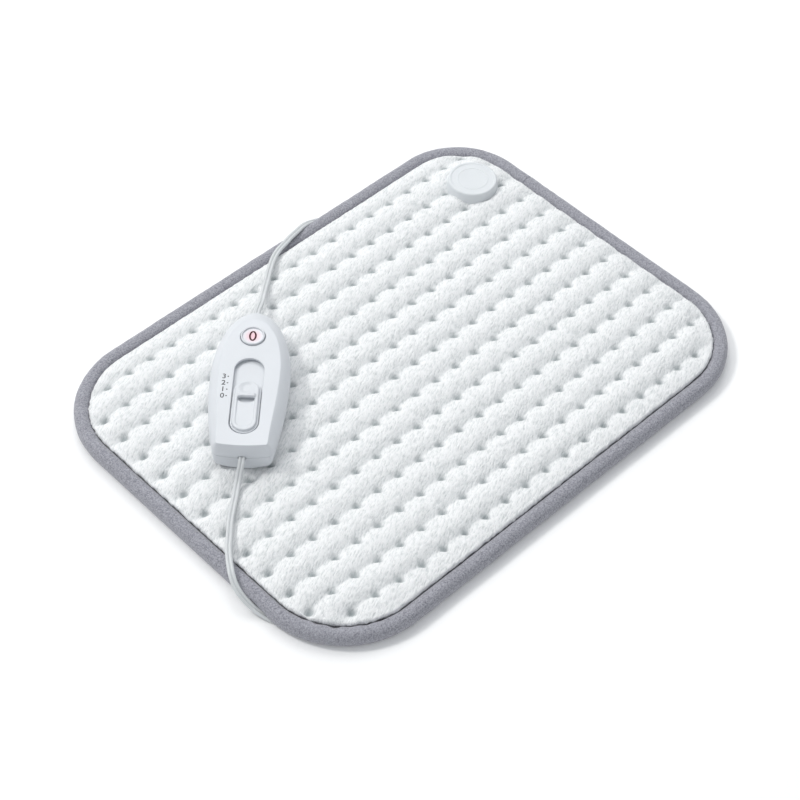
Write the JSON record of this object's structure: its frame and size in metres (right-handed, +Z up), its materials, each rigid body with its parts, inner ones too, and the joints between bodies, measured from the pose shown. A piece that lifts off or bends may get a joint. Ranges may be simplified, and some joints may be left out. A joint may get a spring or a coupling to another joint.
{
  "type": "heating pad with slide controller",
  "caption": "Quilted plush heating pad with a grey bound edge, a round connector housing through one corner, and a corded hand controller whose slide switch sets the heat level.",
  "frame": {"origin": "on the surface that the pad lies on, under the middle of the pad's outline", "axes": "+X along the pad's long side towards the corner with the connector housing, +Y along its short side, +Z up out of the plush"},
  "size_m": [0.4457, 0.3337, 0.0472],
  "materials": {
    "plush": "soft short pile, slightly cool white",
    "felt": "mid-grey felted binding",
    "fleece": "plain fleece",
    "heater": "brown-red insulation",
    "case_plastic": "satin, pale bluish white",
    "dark_plastic": "dark moulded plastic",
    "lens": "milky window",
    "lamp_red": "red lamp",
    "fuse_glass": "glass tube",
    "board": "green circuit board",
    "steel": "plated steel",
    "brass": "bare brass",
    "cord_vinyl": "pale grey-white vinyl"
  },
  "bodies": {
    "pad": {"top_cover": "plush", "edge_binding": "felt", "bottom_cover": "fleece", "heater_carrier": "fleece", "heating_wire": "heater", "puck_base": "case_plastic", "puck_cap": "case_plastic", "puck_terminal_block": "dark_plastic", "puck_lead_clamp": "case_plastic", "thermal_cutout": "steel", "puck_screw_1": "steel", "puck_screw_2": "steel", "puck_screw_3": "steel", "puck_strain_relief": "cord_vinyl", "controller_bottom_shell": "case_plastic", "controller_top_shell": "case_plastic", "circuit_board": "board", "indicator_lens": "lens", "light_well": "case_plastic", "indicator_lamp": "lamp_red", "level_contact_0": "brass", "level_contact_1": "brass", "level_contact_2": "brass", "level_contact_3": "brass", "contact_rail": "brass", "mains_terminal_block": "dark_plastic", "pad_terminal_block": "dark_plastic", "fuse": "fuse_glass", "capacitor": "heater", "power_switch": "dark_plastic", "mains_cord_clamp": "case_plastic", "pad_cord_clamp": "case_plastic", "clamp_screw_1": "steel", "clamp_screw_2": "steel", "clamp_screw_3": "steel", "clamp_screw_4": "steel", "case_screw_1": "steel", "case_screw_2": "steel", "case_screw_3": "steel", "case_screw_4": "steel", "pad_lead": "cord_vinyl", "mains_lead": "cord_vinyl", "mains_lead_hank": "cord_vinyl", "mains_lead_tail": "cord_vinyl", "cord_tie": "cord_vinyl", "plug_body": "cord_vinyl", "plug_strain_relief": "cord_vinyl", "plug_blade_1": "brass", "plug_blade_2": "brass"},
    "slider": {"slider_knob": "case_plastic", "slider_carriage": "dark_plastic", "slider_screw": "steel", "detent_spring": "steel", "wiper_contact": "brass"}
  },
  "joints": [
    {"name": "level_slide", "type": "slide", "parent": "pad", "child": "slider", "axis": [0.712, 0.7021, 0], "range_m": [0, 0.0183]}
  ]
}
